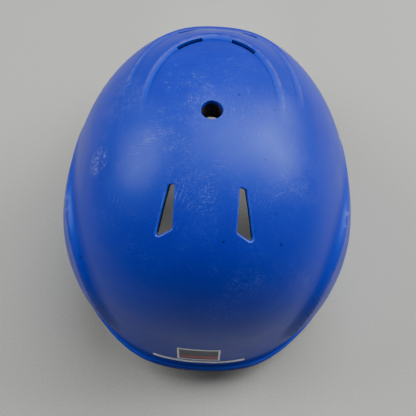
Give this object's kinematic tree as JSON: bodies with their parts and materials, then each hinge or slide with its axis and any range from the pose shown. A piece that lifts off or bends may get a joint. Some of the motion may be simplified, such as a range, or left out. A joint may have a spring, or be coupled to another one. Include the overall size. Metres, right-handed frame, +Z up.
{
  "type": "batting helmet",
  "caption": "Double ear flap batting helmet: moulded shell with bill, vents, flared back rim, foam liner blocks and fabric comfort pads.",
  "frame": {"origin": "on the ground, under the centre of the helmet's bounding box, with the helmet standing on the flat ends of its ear flaps", "axes": "+Z up through the crown, -Y forward out of the bill, +X to the wearer's left"},
  "size_m": [0.2152, 0.3012, 0.2069],
  "materials": {
    "shell": "matte royal blue with fine scratches",
    "foam": "moulded foam",
    "pad_fabric": "knitted fabric",
    "patch": "hook-and-loop",
    "badge": "printed sticker",
    "stripe": "printed sticker"
  },
  "bodies": {
    "root": {"outer_shell": "shell", "liner_crown": "foam", "liner_front": "foam", "liner_left": "foam", "liner_right": "foam", "liner_rear": "foam", "flap_foam_left": "foam", "flap_foam_right": "foam", "brow_pad": "pad_fabric", "temple_pad_left": "pad_fabric", "temple_pad_right": "pad_fabric", "nape_pad": "pad_fabric", "crown_pad_left": "pad_fabric", "crown_pad_right": "pad_fabric", "ear_pad_left": "pad_fabric", "ear_pad_right": "pad_fabric", "hook_patches": "patch", "rear_badge": "badge", "rear_stripe": "stripe"}
  },
  "joints": []
}
